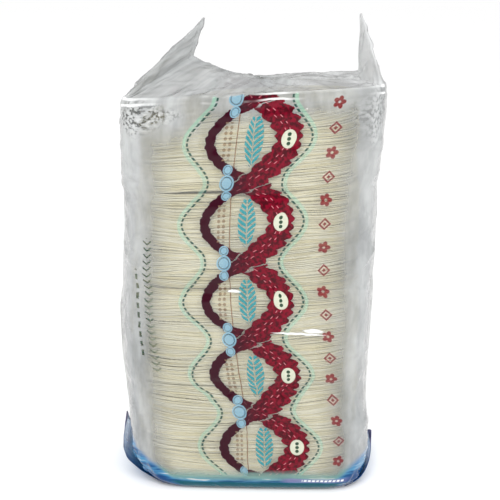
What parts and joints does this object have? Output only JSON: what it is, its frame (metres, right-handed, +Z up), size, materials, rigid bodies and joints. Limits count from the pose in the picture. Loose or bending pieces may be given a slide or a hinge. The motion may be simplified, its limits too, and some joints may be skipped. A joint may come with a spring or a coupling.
{
  "type": "bag of mung bean vermicelli",
  "caption": "Clear printed film bag packed with hanks of dry mung bean vermicelli, standing on its flat bottom, with an upright ear of film at each end of its top seal.",
  "frame": {"origin": "on the flat bottom that the pack stands on, under the middle of the pack's top fold", "axes": "+Z up, the printed front faces -Y, +X to the right when looking at the front"},
  "size_m": [0.1913, 0.09, 0.36],
  "materials": {
    "film": "clear soft film, lightly creased, with a printed column down the front and a blue band round the bottom",
    "noodles": "dry, faintly glassy cream strands"
  },
  "bodies": {
    "root": {"vermicelli_bag": "film"}
  },
  "joints": []
}
